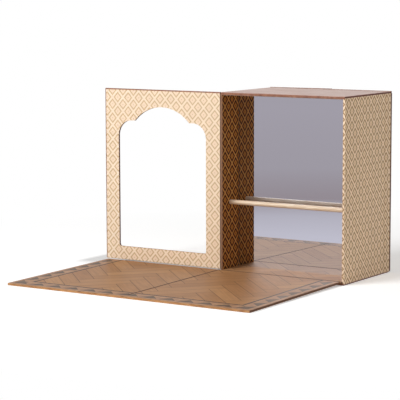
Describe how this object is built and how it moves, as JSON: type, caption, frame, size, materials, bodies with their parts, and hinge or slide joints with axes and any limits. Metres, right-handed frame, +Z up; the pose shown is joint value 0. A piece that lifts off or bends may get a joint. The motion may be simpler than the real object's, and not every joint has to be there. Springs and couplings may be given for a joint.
{
  "type": "toy ballet studio",
  "caption": "Cardboard play box that opens into a small dance room, with an arched door, a mirror, a barre, a folding parquet floor and a rear compartment.",
  "frame": {"origin": "middle of the bottom board's underside, on the surface the box stands on", "axes": "+X along the front of the box to its right, +Y from the front into the box, +Z up"},
  "size_m": [0.3249, 0.3149, 0.2104],
  "materials": {
    "wrap": "matte",
    "wallpaper": "matte",
    "wood_print": "satin",
    "parquet": "satin",
    "lining": "matte",
    "mirror": "polished",
    "dowel": "satin",
    "cloth": "matte"
  },
  "bodies": {
    "box": {"bottom_board": "wrap", "top_board": "wrap", "left_wall_board": "wrap", "right_wall_board": "wrap", "left_wallpaper": "wallpaper", "right_wallpaper": "wallpaper", "top_sheet": "wood_print", "studio_liner_left": "wallpaper", "studio_liner_right": "wallpaper", "studio_ceiling_sheet": "lining", "mirror_sheet": "mirror", "partition_board": "wrap", "partition_sheet": "lining", "compartment_liner_left": "lining", "compartment_liner_right": "lining", "compartment_ceiling_sheet": "lining", "compartment_floor_sheet": "lining", "barre": "dowel", "studio_floor_board": "wrap", "studio_floor_parquet": "parquet", "front_hinge_wall_cloth": "cloth", "rear_left_hinge_wall_cloth": "cloth", "rear_right_hinge_wall_cloth": "cloth"},
    "floor_right": {"floor_right_board": "wrap", "floor_right_parquet": "parquet", "floor_right_underside": "lining"},
    "floor_left": {"floor_left_board": "wrap", "floor_left_parquet": "parquet", "floor_left_underside": "lining"},
    "front_door": {"front_door_board": "wrap", "front_door_inner_wallpaper": "wallpaper", "front_door_outer_sheet": "wood_print", "front_hinge_door_cloth": "cloth"},
    "rear_door_left": {"rear_left_door_board": "wrap", "rear_left_door_inner_sheet": "lining", "rear_left_door_outer_sheet": "wallpaper", "rear_left_hinge_door_cloth": "cloth"},
    "rear_door_right": {"rear_right_door_board": "wrap", "rear_right_door_inner_sheet": "lining", "rear_right_door_outer_sheet": "wallpaper", "rear_right_hinge_door_cloth": "cloth"}
  },
  "joints": [
    {"name": "front_door", "type": "hinge", "parent": "box", "child": "front_door", "pos_m": [-0.0811, -0.0581, 0.10752], "axis": [0, 0, 1], "range_deg": [0, 180]},
    {"name": "floor_lift", "type": "hinge", "parent": "box", "child": "floor_right", "pos_m": [0, -0.0581, 0.0049], "axis": [-1, 0, 0], "range_deg": [0, 90.63]},
    {"name": "floor_fold", "type": "hinge", "parent": "floor_right", "child": "floor_left", "pos_m": [-0.0808, -0.0581, 0.0049], "axis": [0, 0.9999, 0.0109], "range_deg": [0, 180]},
    {"name": "rear_door_left", "type": "hinge", "parent": "box", "child": "rear_door_left", "pos_m": [-0.0814, 0.0552, 0.105], "axis": [0, 0, 1], "range_deg": [-5, 170]},
    {"name": "rear_door_right", "type": "hinge", "parent": "box", "child": "rear_door_right", "pos_m": [0.0814, 0.0552, 0.105], "axis": [0, 0, -1], "range_deg": [0, 175]}
  ]
}
